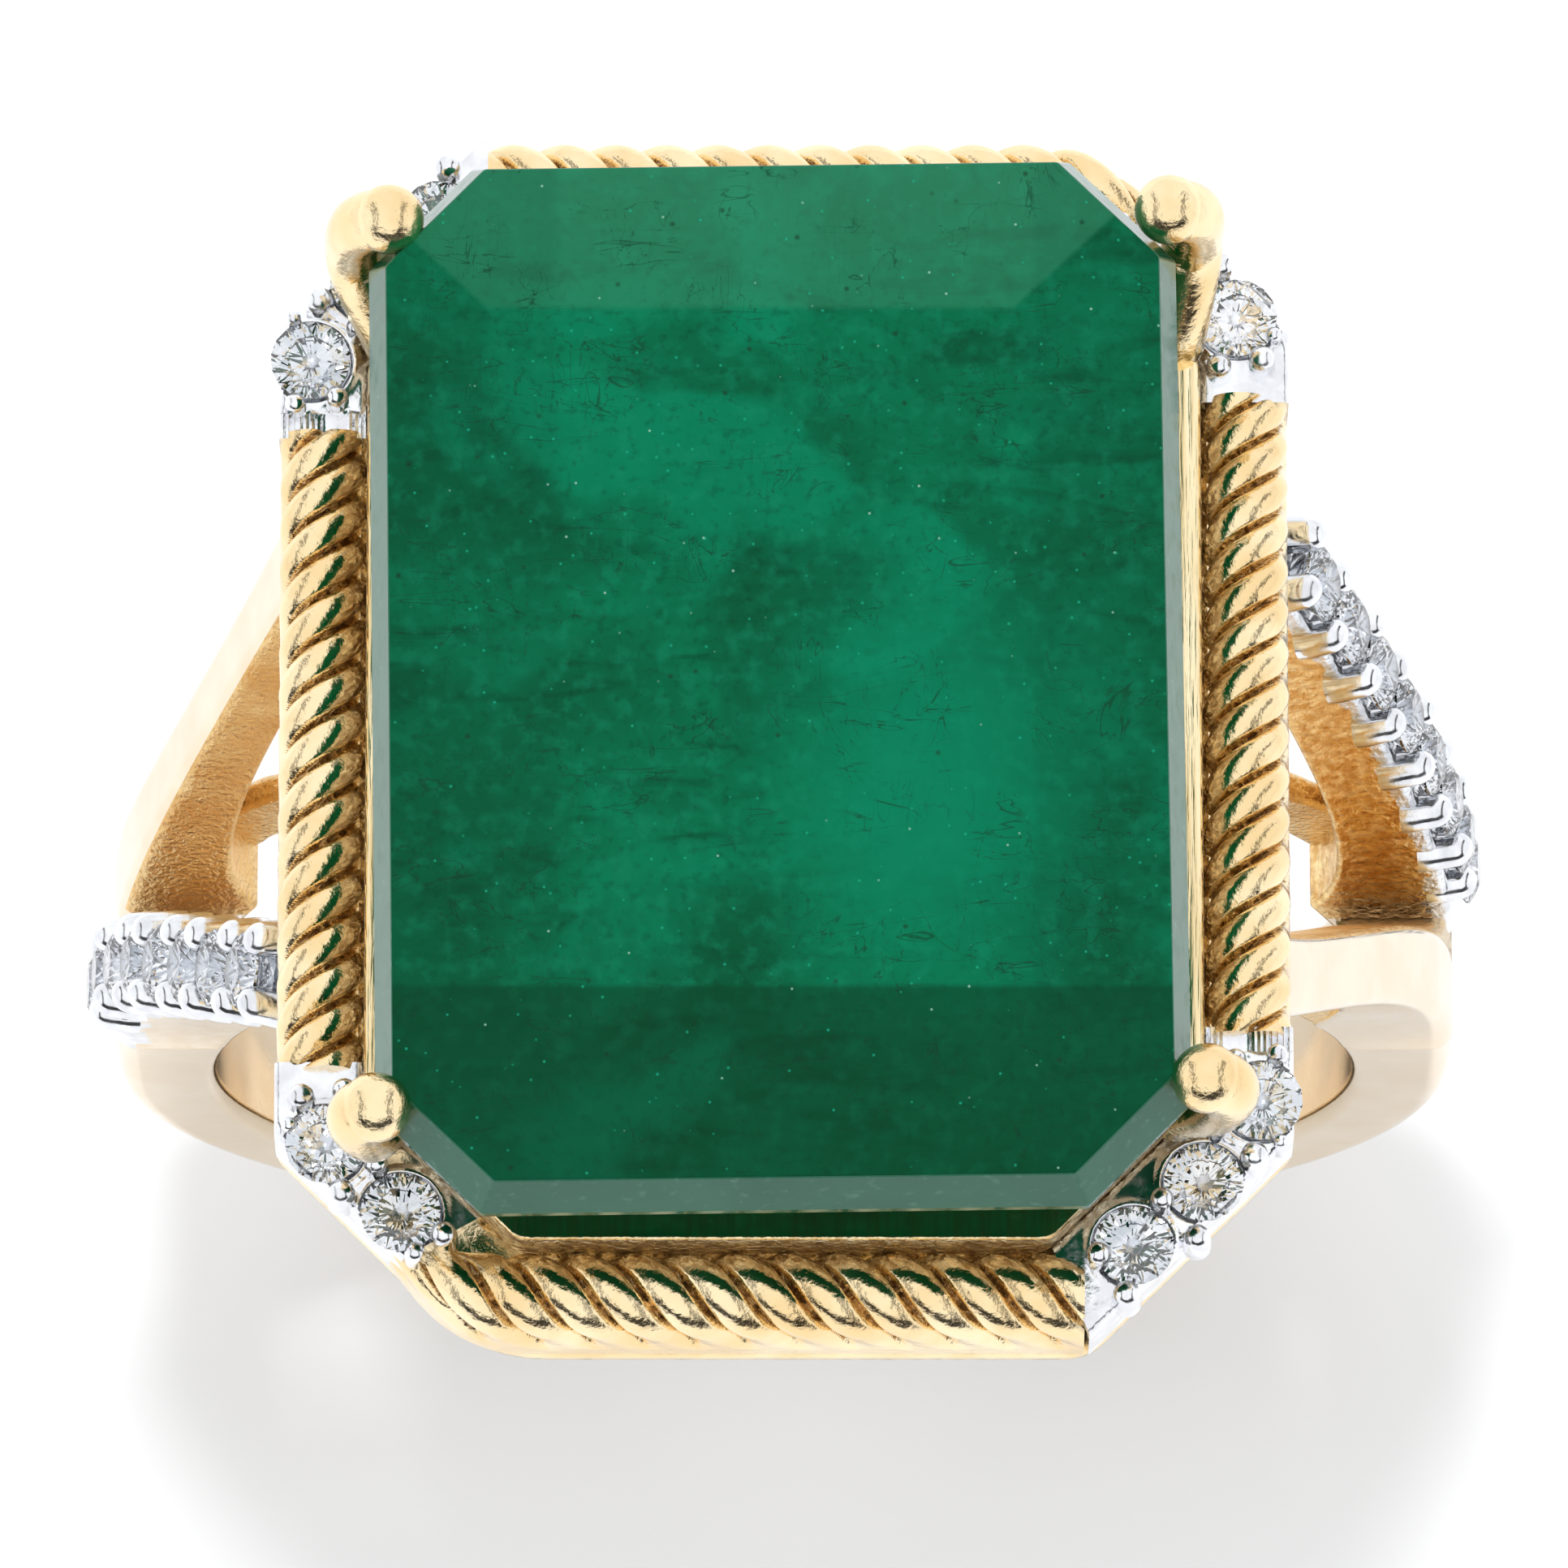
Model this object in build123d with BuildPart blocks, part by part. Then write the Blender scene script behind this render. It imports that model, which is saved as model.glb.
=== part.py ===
"""Cocktail ring: an emerald-cut stone in a roped octagonal head on a split shank.

Frame: origin at the centre of the finger hole, +Z up through the big stone,
the finger hole along Y, and -Y towards the wearer's fingertip. Millimetres.
The design repeats under half a turn about Z, so each plain shoulder faces a jewelled one.
"""
from build123d import *
import os

os.makedirs("parts", exist_ok=True)

# --- finger ring -----------------------------------------------------------
BORE_R = 8.88            # finger hole, US size 7.5
SHANK_OUTER_R = 10.40
SHANK_HALF_WIDTH = 1.70
SHANK_BASE_HALF_WIDTH = 1.50
SHANK_EDGE_R = 0.40
FORK_Z = 2.20            # the shank ends here and the four shoulders begin
RAIL_OUTER_R = 10.15
RAIL_NEAR_Y = 1.20       # each finger rail lies between these distances from the middle
RAIL_FAR_Y = 1.65

# --- head ------------------------------------------------------------------
FRAME_HALF_X = 7.57
FRAME_HALF_Y = 9.25
FRAME_CUT = 3.05         # length cut from each side at the 45 degree corners
FRAME_BAND = 1.33        # width of the octagonal wall
FRAME_BOTTOM_Z = 13.13
FRAME_TOP_Z = 14.46
ROPE_R = 0.65
STRAND_R = 0.335
STRAND_CORE = 0.6        # share of a strand's radius that fills the middle of the rope
SIDE_ROPE_LEAD = 1.93    # length of one full turn of a strand
END_ROPE_LEAD = 2.30
SIDE_ROPE_SPAN = (-5.10, 4.55)   # the left rope along Y; the right one is its half turn
END_ROPE_SPAN = (-4.70, 4.60)    # the front rope along X; the back one is its half turn
SETTING_H = 0.42
SETTING_TOP_Z = FRAME_TOP_Z + SETTING_H

# --- shoulders: curves in the side view (X, Z) and the front view (Y, Z) ----
PAVE_CROWN = ((SHANK_OUTER_R, FORK_Z), (10.45, 5.70), (9.15, 9.00), (7.45, FRAME_BOTTOM_Z))
PLAIN_CROWN = ((SHANK_OUTER_R, FORK_Z), (10.25, 5.70), (8.63, 9.00), (7.45, FRAME_BOTTOM_Z))
UNDER_CURVE = ((8.15, 3.52), (9.20, 5.40), (7.90, 8.40), (6.25, FRAME_BOTTOM_Z))
NEAR_EDGE = ((0.10, FORK_Z), (0.32, 4.30), (1.20, 7.80), (2.60, FRAME_BOTTOM_Z))
FAR_EDGE = ((SHANK_HALF_WIDTH, FORK_Z), (1.80, 4.90), (2.42, 7.80), (4.00, FRAME_BOTTOM_Z))
EDGE_TANGENTS = ((0, 1), (0.55, 1))
PLAIN_EDGE_R = 0.28      # softened edges of the crown
PAVE_EDGE_R = 0.12
SHOULDER_REACH = 6.00    # wider than any shoulder, for the cuts that shape it
# the middle of a jewelled shoulder's crown, from the fork up to the head
STONE_LINE = (
    (10.42, 0.95, 2.60),
    (10.20, 1.12, 4.80),
    (9.58, 1.68, 7.43),
    (8.63, 2.45, 10.17),
    (7.45, 3.30, FRAME_BOTTOM_Z),
)

# --- big stone -------------------------------------------------------------
GIRDLE_Z = 17.40
GIRDLE_H = 0.20
STONE_HALF_X = 6.00
STONE_HALF_Y = 8.00
STONE_CUT = 1.55
TABLE_INSET = 0.27
CROWN_H = 1.03
PAVILION_STEPS = ((1.50, 1.15), (3.10, 2.75), (4.50, 5.55))   # depth and inset of each step
STONE_YAW = 0.75         # degrees: the stone is set by hand and sits slightly askew
STONE_SHIFT_X = -0.09
SEAT_LEDGE = 2.10        # width of the flat ledge that the pavilion rests in
SEAT_TOP_Z = 15.30
SEAT_BOTTOM_Z = 13.50

# --- small stones, beads and claws -----------------------------------------
ACCENT_R = 0.60
ACCENT_PAVILION_H = 0.50
ACCENT_CROWN_H = 0.20
ACCENT_TABLE_R = 0.34
ACCENT_GIRDLE_H = 0.04
ACCENT_SEAT_R = 0.49     # the hole each corner stone rests in
ACCENT_LIFT = 0.12       # its girdle above the metal
PAVE_SEAT_R = 0.38       # the narrower holes along a shoulder hold their stones higher
PAVE_LIFT = 0.21
SEAT_SPARE = 0.05        # depth of a hole below its stone's point
THREE_STONES = ((7.10, 5.72), (6.22, 6.96), (5.18, 7.93))
THREE_BEADS = ((6.94, 6.56), (5.60, 7.26), (6.10, 7.86), (5.06, 8.72), (7.34, 4.86))
TWO_STONES = ((6.80, 6.38), (5.68, 7.42))
TWO_BEADS = ((7.12, 5.55), (6.45, 5.70), (6.02, 6.76), (6.68, 7.12), (5.00, 7.92))
BEAD_R = 0.15
BEAD_H = 0.38            # domed top above the metal
BEAD_ROOT = 0.12
PAVE_COUNT = 8
PAVE_START = 0.06        # first and last stone, as fractions of the stone line
PAVE_END = 0.90
PAVE_BEAD_SIDE = 0.43    # from the stone line to each row of beads
CLAW_R = 0.44
CLAW_TIP_R = 0.52
CLAW_TIP_Z = 18.35
CLAW_FOOT = (5.84, 5.94)
CLAW_BULGE = 0.55        # how far a claw swings out past its tip on the way up
CLAW_BULGE_DROP = 0.90   # below the girdle, where it is widest
CLAW_SWAY = 0.05
CLAW_TIPS = {
    "claw_back_left": (-5.86, 6.92),
    "claw_back_right": (5.72, 7.07),
    "claw_front_left": (-5.98, -6.66),
    "claw_front_right": (6.20, -6.22),
}


def save(part, name):
    """Label one finished piece and write it as its own STEP file."""
    part.label = name
    export_step(part, f"parts/{name}.step")


def half_turn(part):
    """The same piece on the other side of the ring, half a turn about Z."""
    return part.rotate(Axis.Z, 180)


def octagon(half_x, half_y, cut):
    """Corners of a rectangle whose four corners are cut at 45 degrees."""
    corner = [(half_x, half_y - cut), (half_x - cut, half_y)]
    top = corner + [(-x, y) for x, y in reversed(corner)]
    return top + [(-x, -y) for x, y in top]


def inset_cut(cut, inset):
    """Corner cut of an octagon whose eight sides have all moved in by inset."""
    return cut - inset * (2 - 2**0.5)


# --- shank: the lower part of the finger ring, up to the fork ---------------
with BuildPart() as shank:
    with BuildSketch(Plane.XZ):
        Circle(SHANK_OUTER_R)
        with Locations((0, FORK_Z / 2)):
            Rectangle(2 * SHANK_OUTER_R, FORK_Z)
        with Locations((0, FORK_Z + SHANK_OUTER_R)):
            Rectangle(4 * SHANK_OUTER_R, 2 * SHANK_OUTER_R, mode=Mode.SUBTRACT)
    extrude(amount=2 * SHANK_HALF_WIDTH, both=True)
    with BuildSketch(Plane.YZ):
        with BuildLine():
            Polyline(
                (-SHANK_BASE_HALF_WIDTH, -SHANK_OUTER_R - 1),
                (SHANK_BASE_HALF_WIDTH, -SHANK_OUTER_R - 1),
                (SHANK_HALF_WIDTH, FORK_Z - 1),
                (SHANK_HALF_WIDTH, FORK_Z + 1),
                (-SHANK_HALF_WIDTH, FORK_Z + 1),
                (-SHANK_HALF_WIDTH, FORK_Z - 1),
                close=True,
            )
        make_face()
    extrude(amount=2 * SHANK_OUTER_R, both=True, mode=Mode.INTERSECT)
    rims = [
        edge
        for edge in shank.edges().filter_by(Axis.Y, reverse=True)
        if abs(edge.center().Y) > SHANK_BASE_HALF_WIDTH - 0.3 and edge.center().Z < FORK_Z - 0.1
    ]
    fillet(rims, SHANK_EDGE_R)
    with Locations(Location((0, 0, 0), (90, 0, 0))):
        Cylinder(BORE_R, 6 * SHANK_HALF_WIDTH, mode=Mode.SUBTRACT)
save(shank.part, "shank")

# --- shoulders: four bars from the fork to the underside of the head --------
def shoulder_bar(crown_curve, edge_r):
    """Bar of the +X +Y shoulder: its side view crossed with its front view."""
    with BuildPart() as bar:
        with BuildSketch(Plane.XZ):
            with BuildLine():
                Bezier(*crown_curve)
                Line(crown_curve[-1], UNDER_CURVE[-1])
                Bezier(*reversed(UNDER_CURVE))
                Polyline(UNDER_CURVE[0], (UNDER_CURVE[0][0] - 1, FORK_Z), crown_curve[0])
            make_face()
        extrude(amount=-SHOULDER_REACH)
        with BuildSketch(Plane.YZ):
            with BuildLine():
                Spline(*NEAR_EDGE, tangents=EDGE_TANGENTS)
                Line(NEAR_EDGE[-1], FAR_EDGE[-1])
                Spline(*FAR_EDGE, tangents=EDGE_TANGENTS)
                Line(FAR_EDGE[0], NEAR_EDGE[0])
            make_face()
        extrude(amount=2 * SHOULDER_REACH, mode=Mode.INTERSECT)
        crown_face = bar.faces().sort_by(Axis.X)[-1]
        fillet(crown_face.edges().sort_by(SortBy.LENGTH)[-2:], edge_r)
        with Locations(Location((0, 0, 0), (90, 0, 0))):
            Cylinder(BORE_R, 2 * SHOULDER_REACH, mode=Mode.SUBTRACT)
    return bar.part


plain_shoulder = mirror(shoulder_bar(PLAIN_CROWN, PLAIN_EDGE_R), about=Plane.XZ)
save(plain_shoulder, "plain_shoulder_front_right")
save(half_turn(plain_shoulder), "plain_shoulder_back_left")

with BuildPart() as bead:
    with BuildSketch(Plane.XZ):
        with BuildLine():
            Polyline((0, BEAD_H), (0, -BEAD_ROOT), (BEAD_R, -BEAD_ROOT), (BEAD_R, BEAD_H - BEAD_R))
            RadiusArc((BEAD_R, BEAD_H - BEAD_R), (0, BEAD_H), -BEAD_R)
        make_face()
    revolve(axis=Axis.Z)

with BuildLine() as stone_line:
    Spline(*STONE_LINE)


def pave_place(u, across=0.0, lift=0.0):
    """Place on a jewelled shoulder's crown, u of the way up, facing outwards."""
    middle = stone_line.edge().position_at(u)
    along = stone_line.edge().tangent_at(u)
    outward = Vector(along.Z, 0, -along.X).normalized()
    side = outward.cross(along).normalized()
    plane = Plane(
        origin=middle + outward * lift + side * across,
        x_dir=side.cross(outward),
        z_dir=outward,
    )
    return Location(plane)


pave_pitch = (PAVE_END - PAVE_START) / (PAVE_COUNT - 1)
stone_steps = [PAVE_START + pave_pitch * i for i in range(PAVE_COUNT)]
bead_steps = [u + pave_pitch / 2 for u in stone_steps]
pave_stones = [pave_place(u, lift=PAVE_LIFT) for u in stone_steps]
pave_beads = [pave_place(u, side * PAVE_BEAD_SIDE) for u in bead_steps for side in (-1, 1)]

pave_bar = shoulder_bar(PAVE_CROWN, PAVE_EDGE_R)
with BuildPart() as pave_shoulder:
    add(pave_bar)
    with Locations(pave_stones):
        Cylinder(PAVE_SEAT_R, 2 * (ACCENT_PAVILION_H + SEAT_SPARE), mode=Mode.SUBTRACT)
    with Locations(pave_beads):
        add(bead.part)
save(pave_shoulder.part, "pave_shoulder_back_right")
save(half_turn(pave_shoulder.part), "pave_shoulder_front_left")

# --- finger rails: close the finger circle under the head -------------------
with BuildPart() as finger_rail:
    with BuildSketch(Plane.XZ.offset(-RAIL_FAR_Y)):
        Circle(RAIL_OUTER_R)
        Circle(BORE_R, mode=Mode.SUBTRACT)
        with Locations((0, FORK_Z - RAIL_OUTER_R)):
            Rectangle(4 * RAIL_OUTER_R, 2 * RAIL_OUTER_R, mode=Mode.SUBTRACT)
    extrude(amount=RAIL_FAR_Y - RAIL_NEAR_Y)
    add(pave_bar, mode=Mode.SUBTRACT)
    add(mirror(pave_bar, about=Plane.YZ), mode=Mode.SUBTRACT)
save(finger_rail.part, "finger_rail_back")
save(half_turn(finger_rail.part), "finger_rail_front")

# --- head frame: the octagonal wall that the shoulders carry ----------------
frame_outer = octagon(FRAME_HALF_X, FRAME_HALF_Y, FRAME_CUT)
frame_inner = octagon(
    FRAME_HALF_X - FRAME_BAND, FRAME_HALF_Y - FRAME_BAND, inset_cut(FRAME_CUT, FRAME_BAND)
)
with BuildPart() as head_frame:
    with BuildSketch(Plane.XY.offset(FRAME_BOTTOM_Z)):
        Polygon(*frame_outer, align=None)
        Polygon(*frame_inner, align=None, mode=Mode.SUBTRACT)
    extrude(amount=FRAME_TOP_Z - FRAME_BOTTOM_Z)
save(head_frame.part, "head_frame")

# --- big stone: crown, girdle and stepped pavilion --------------------------
def stone_outline(z, inset):
    """Octagonal section of the big stone at height z, inset from its girdle."""
    yaw = Vector(1, 0, 0).rotate(Axis.Z, STONE_YAW)
    plane = Plane(origin=(STONE_SHIFT_X, 0, z), x_dir=yaw, z_dir=(0, 0, 1))
    with BuildSketch(plane) as section:
        Polygon(
            *octagon(STONE_HALF_X - inset, STONE_HALF_Y - inset, STONE_CUT * (1 - inset / STONE_HALF_X)),
            align=None,
        )
    return section.sketch


girdle_base_z = GIRDLE_Z - GIRDLE_H / 2
with BuildPart() as emerald:
    add(stone_outline(girdle_base_z, 0))
    extrude(amount=GIRDLE_H)
    loft(
        [stone_outline(girdle_base_z + GIRDLE_H, 0), stone_outline(GIRDLE_Z + CROWN_H, TABLE_INSET)],
        ruled=True,
    )
    upper = (0, 0)
    for lower in PAVILION_STEPS:
        loft(
            [
                stone_outline(girdle_base_z - upper[0], upper[1]),
                stone_outline(girdle_base_z - lower[0], lower[1]),
            ],
            ruled=True,
        )
        upper = lower
save(emerald.part, "emerald")

# --- claws: round wires that stand on the seat and curl over the stone ------
for name, (tip_x, tip_y) in CLAW_TIPS.items():
    side_x = 1 if tip_x > 0 else -1
    side_y = 1 if tip_y > 0 else -1
    foot = Vector(side_x * CLAW_FOOT[0], side_y * CLAW_FOOT[1], SEAT_TOP_Z)
    tip = Vector(tip_x, tip_y, CLAW_TIP_Z)
    bulge = Vector(
        tip_x + side_x * CLAW_BULGE, tip_y - side_y * CLAW_SWAY, GIRDLE_Z - CLAW_BULGE_DROP
    )
    curl = Vector(-side_x, -side_y * 0.1, 0.45)
    with BuildPart() as claw:
        with BuildLine():
            Spline(foot, bulge, tip, tangents=((0, 0, 1), curl))
        with BuildSketch(Plane(origin=foot, z_dir=(0, 0, 1))):
            Circle(CLAW_R)
        sweep()
        with Locations(Plane(origin=tip, z_dir=curl)):
            Sphere(CLAW_TIP_R)
        add(emerald.part, mode=Mode.SUBTRACT)
    save(claw.part, name)

# --- stone seat: the flat ledge inside the frame that the pavilion rests in ---
seat_opening = octagon(
    FRAME_HALF_X - FRAME_BAND - SEAT_LEDGE,
    FRAME_HALF_Y - FRAME_BAND - SEAT_LEDGE,
    inset_cut(FRAME_CUT, FRAME_BAND + SEAT_LEDGE),
)
with BuildPart() as stone_seat:
    with BuildSketch(Plane.XY.offset(SEAT_BOTTOM_Z)):
        Polygon(*frame_inner, align=None)
        Polygon(*seat_opening, align=None, mode=Mode.SUBTRACT)
    extrude(amount=SEAT_TOP_Z - SEAT_BOTTOM_Z)
    add(emerald.part, mode=Mode.SUBTRACT)
save(stone_seat.part, "stone_seat")

# --- ropes: three twisted strands, half sunk in the top of the frame --------
def twisted_rope(start, direction, length, lead):
    """Right-handed three-strand rope along a straight line."""
    with BuildSketch(Plane(origin=start, z_dir=direction)) as section:
        with PolarLocations(ROPE_R - STRAND_R, 3):
            Circle(STRAND_R)
        Circle(STRAND_R * STRAND_CORE)
    return Solid.extrude_linear_with_rotation(
        section.sketch.face(), start, Vector(*direction) * length, 360 * length / lead
    )


side_rope_x = FRAME_HALF_X - FRAME_BAND / 2
end_rope_y = FRAME_HALF_Y - FRAME_BAND / 2
side_twist = twisted_rope(
    (-side_rope_x, SIDE_ROPE_SPAN[0], FRAME_TOP_Z), (0, 1, 0),
    SIDE_ROPE_SPAN[1] - SIDE_ROPE_SPAN[0], SIDE_ROPE_LEAD,
)
end_twist = twisted_rope(
    (END_ROPE_SPAN[0], -end_rope_y, FRAME_TOP_Z), (1, 0, 0),
    END_ROPE_SPAN[1] - END_ROPE_SPAN[0], END_ROPE_LEAD,
)
with BuildPart() as above_frame:
    with BuildSketch(Plane.XY.offset(FRAME_TOP_Z)):
        Rectangle(4 * FRAME_HALF_X, 4 * FRAME_HALF_Y)
    extrude(amount=2 * ROPE_R)
with BuildPart() as rope_left:
    add(side_twist)
    add(above_frame.part, mode=Mode.INTERSECT)
with BuildPart() as rope_front:
    add(end_twist)
    add(above_frame.part, mode=Mode.INTERSECT)
save(rope_left.part, "rope_left")
save(half_turn(rope_left.part), "rope_right")
save(rope_front.part, "rope_front")
save(half_turn(rope_front.part), "rope_back")

# --- corner settings: raised plates with beads, on the frame's corners ------
def corner_setting(side_end_y, end_end_x, stones, beads):
    """Plate over one corner of the frame between two rope ends, made in the +X +Y corner."""
    outer_diagonal = FRAME_HALF_X + FRAME_HALF_Y - FRAME_CUT
    inner_diagonal = outer_diagonal - FRAME_BAND * 2**0.5
    inner_x = FRAME_HALF_X - FRAME_BAND
    outline = (
        (FRAME_HALF_X, side_end_y),
        (FRAME_HALF_X, outer_diagonal - FRAME_HALF_X),
        (end_end_x, outer_diagonal - end_end_x),
        (end_end_x, inner_diagonal - end_end_x),
        (inner_x, inner_diagonal - inner_x),
        (inner_x, side_end_y),
    )
    with BuildPart() as setting:
        with BuildSketch(Plane.XY.offset(FRAME_TOP_Z)):
            Polygon(*outline, align=None)
        extrude(amount=SETTING_H)
        with Locations([(x, y, SETTING_TOP_Z) for x, y in stones]):
            Cylinder(ACCENT_SEAT_R, 2 * SETTING_H, mode=Mode.SUBTRACT)
        with Locations([(x, y, SETTING_TOP_Z) for x, y in beads]):
            add(bead.part)
    return setting.part


three_setting = mirror(
    corner_setting(SIDE_ROPE_SPAN[1], END_ROPE_SPAN[1], THREE_STONES, THREE_BEADS),
    about=Plane.XZ,
)
save(three_setting, "corner_setting_front_right")
save(half_turn(three_setting), "corner_setting_back_left")
two_setting = corner_setting(-SIDE_ROPE_SPAN[0], -END_ROPE_SPAN[0], TWO_STONES, TWO_BEADS)
save(two_setting, "corner_setting_back_right")
save(half_turn(two_setting), "corner_setting_front_left")

# --- accent stones: round brilliants in the corners and on the shoulders ----
with BuildPart() as accent:
    with BuildSketch(Plane.XZ):
        with BuildLine():
            Polyline(
                (0, -ACCENT_PAVILION_H),
                (ACCENT_R, 0),
                (ACCENT_R, ACCENT_GIRDLE_H),
                (ACCENT_TABLE_R, ACCENT_CROWN_H),
                (0, ACCENT_CROWN_H),
                close=True,
            )
        make_face()
    revolve(axis=Axis.Z)

three_places = [Location((x, -y, SETTING_TOP_Z + ACCENT_LIFT)) for x, y in THREE_STONES]
two_places = [Location((x, y, SETTING_TOP_Z + ACCENT_LIFT)) for x, y in TWO_STONES]
for number, place in enumerate(three_places, start=1):
    stone = accent.part.moved(place)
    save(stone, f"accent_front_right_{number}")
    save(half_turn(stone), f"accent_back_left_{number}")
for number, place in enumerate(two_places, start=1):
    stone = accent.part.moved(place)
    save(stone, f"accent_back_right_{number}")
    save(half_turn(stone), f"accent_front_left_{number}")
for number, place in enumerate(pave_stones, start=1):
    stone = accent.part.moved(place)
    save(stone, f"pave_right_{number}")
    save(half_turn(stone), f"pave_left_{number}")
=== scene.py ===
"""Looks of the cocktail ring: polished gold, rhodium, white stones and a big hazy emerald.

Lengths in this script are millimetres in the frame of the CAD part; build() turns them into metres.
"""
import math

import bpy
import numpy as np
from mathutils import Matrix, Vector

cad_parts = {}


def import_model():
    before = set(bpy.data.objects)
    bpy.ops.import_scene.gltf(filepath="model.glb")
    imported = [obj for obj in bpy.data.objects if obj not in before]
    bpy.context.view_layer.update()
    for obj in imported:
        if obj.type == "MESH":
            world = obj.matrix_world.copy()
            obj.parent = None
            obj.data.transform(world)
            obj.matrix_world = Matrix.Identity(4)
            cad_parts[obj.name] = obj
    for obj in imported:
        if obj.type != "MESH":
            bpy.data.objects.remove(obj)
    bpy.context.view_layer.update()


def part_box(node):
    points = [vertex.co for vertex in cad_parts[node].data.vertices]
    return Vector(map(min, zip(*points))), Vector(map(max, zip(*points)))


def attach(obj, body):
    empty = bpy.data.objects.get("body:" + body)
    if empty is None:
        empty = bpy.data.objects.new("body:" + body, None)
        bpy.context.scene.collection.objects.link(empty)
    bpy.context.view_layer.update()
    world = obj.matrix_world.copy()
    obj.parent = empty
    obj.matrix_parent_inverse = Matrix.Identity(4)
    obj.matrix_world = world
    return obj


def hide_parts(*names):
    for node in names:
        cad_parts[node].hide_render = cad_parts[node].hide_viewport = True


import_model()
MM = 0.001

# --- dimensions shared with the CAD part -------------------------------------
BORE_R, OUTER_R = 8.88, 10.40
HALF_WIDTH, BASE_HALF_WIDTH = 1.70, 1.50
FORK_Z = 2.20
HEAD_HX, HEAD_HY, HEAD_CUT = 7.57, 9.25, 3.05
BAND = 1.33
FRAME_Z0, FRAME_Z1 = 13.13, 14.46
SETTING_TOP = 14.88
ROPE_R = 0.65
SIDE_LEAD, END_LEAD = 1.93, 2.30
SIDE_SPAN = (-5.10, 4.55)
SEAT_TOP, SEAT_BOTTOM, LEDGE = 15.30, 13.50, 2.10
PAVE_CROWN = ((OUTER_R, FORK_Z), (10.45, 5.70), (9.15, 9.00), (7.45, FRAME_Z0))
PLAIN_CROWN = ((OUTER_R, FORK_Z), (10.25, 5.70), (8.63, 9.00), (7.45, FRAME_Z0))
UNDER_CURVE = ((8.15, 3.52), (9.20, 5.40), (7.90, 8.40), (6.25, FRAME_Z0))
NEAR_EDGE = ((0.10, FORK_Z), (0.32, 4.30), (1.20, 7.80), (2.60, FRAME_Z0))
FAR_EDGE = ((1.70, FORK_Z), (1.80, 4.90), (2.42, 7.80), (4.00, FRAME_Z0))
STONE_R, PAVE_LIFT, PAVE_COUNT = 0.60, 0.21, 8
THREE_STONES = ((7.10, 5.72), (6.22, 6.96), (5.18, 7.93))
# beads: X, Y, radius, height above the plate
THREE_BEADS = (
    (6.97, 6.60, 0.21, 0.52), (5.60, 7.26, 0.18, 0.46), (6.12, 7.84, 0.20, 0.44), (5.07, 8.70, 0.21, 0.44),
    (4.66, 8.10, 0.19, 0.46), (6.70, 5.12, 0.17, 0.40), (7.32, 5.03, 0.16, 0.36), (6.42, 6.20, 0.15, 0.40),
    (7.36, 6.36, 0.12, 0.30),
)
TWO_STONES = ((6.80, 6.38), (5.68, 7.42))
TWO_BEADS = (
    (7.16, 5.70, 0.20, 0.48), (6.52, 5.60, 0.19, 0.44), (6.04, 6.72, 0.18, 0.44), (6.56, 7.16, 0.21, 0.48),
    (5.04, 7.80, 0.20, 0.48), (5.46, 8.06, 0.16, 0.38), (7.34, 6.10, 0.12, 0.30),
)
GIRDLE_Z, GIRDLE_H, CROWN_H, TABLE_INSET = 17.40, 0.20, 1.03, 0.27
EM_HX, EM_HY, EM_CUT, EM_YAW, EM_SHIFT = 6.00, 8.00, 1.55, 0.75, -0.09
PAVILION = ((1.50, 1.15), (3.10, 2.75), (4.50, 5.55))
# claws: tip X, tip Y, how far the wire stands out beside the stone
CLAWS = {
    "claw_back_left": (-5.86, 6.92, 0.52),
    "claw_back_right": (5.72, 7.07, 0.36),
    "claw_front_left": (-5.98, -6.66, 0.10),
    "claw_front_right": (6.20, -6.22, 0.20),
}


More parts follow.
